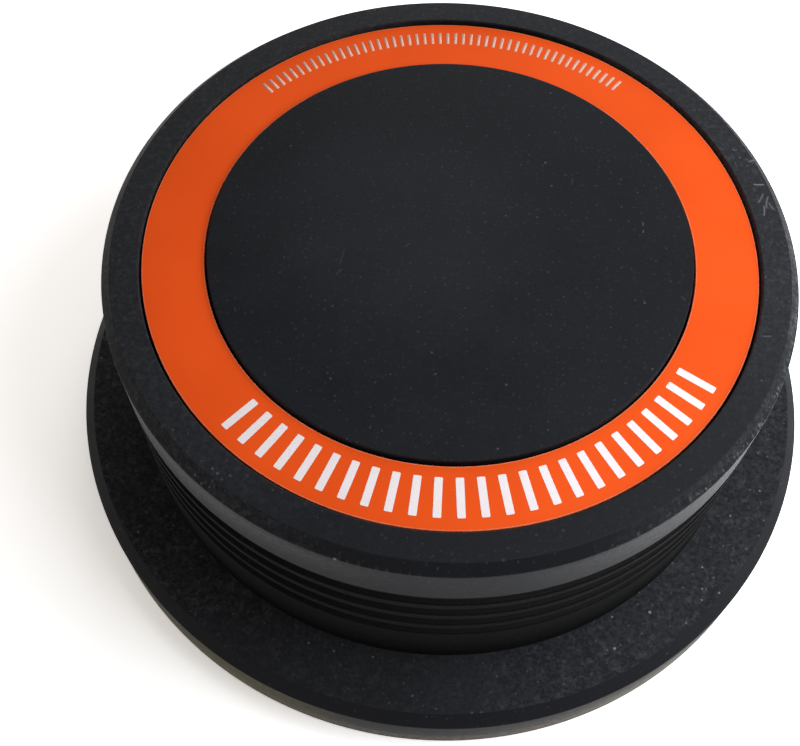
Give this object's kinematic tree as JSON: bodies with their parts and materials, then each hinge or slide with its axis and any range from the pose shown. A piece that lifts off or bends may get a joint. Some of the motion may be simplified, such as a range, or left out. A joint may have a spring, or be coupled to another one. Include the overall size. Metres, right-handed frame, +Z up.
{
  "type": "record weight",
  "caption": "Round rubber-clad turntable record weight with a wide base flange, ribbed side, orange top ring and a spindle bore underneath.",
  "frame": {"origin": "middle of the underside, on the surface that the weight stands on", "axes": "+Z up along the spindle bore; the shape is round, so X and Y are free"},
  "size_m": [0.08, 0.08, 0.03],
  "materials": {
    "black_rubber": "matte moulded rubber, dusty",
    "core_brass": "turned",
    "orange_print": "satin print on a thin plate"
  },
  "bodies": {
    "root": {"rubber_jacket": "black_rubber", "weight_core": "core_brass", "printed_ring": "orange_print"}
  },
  "joints": []
}
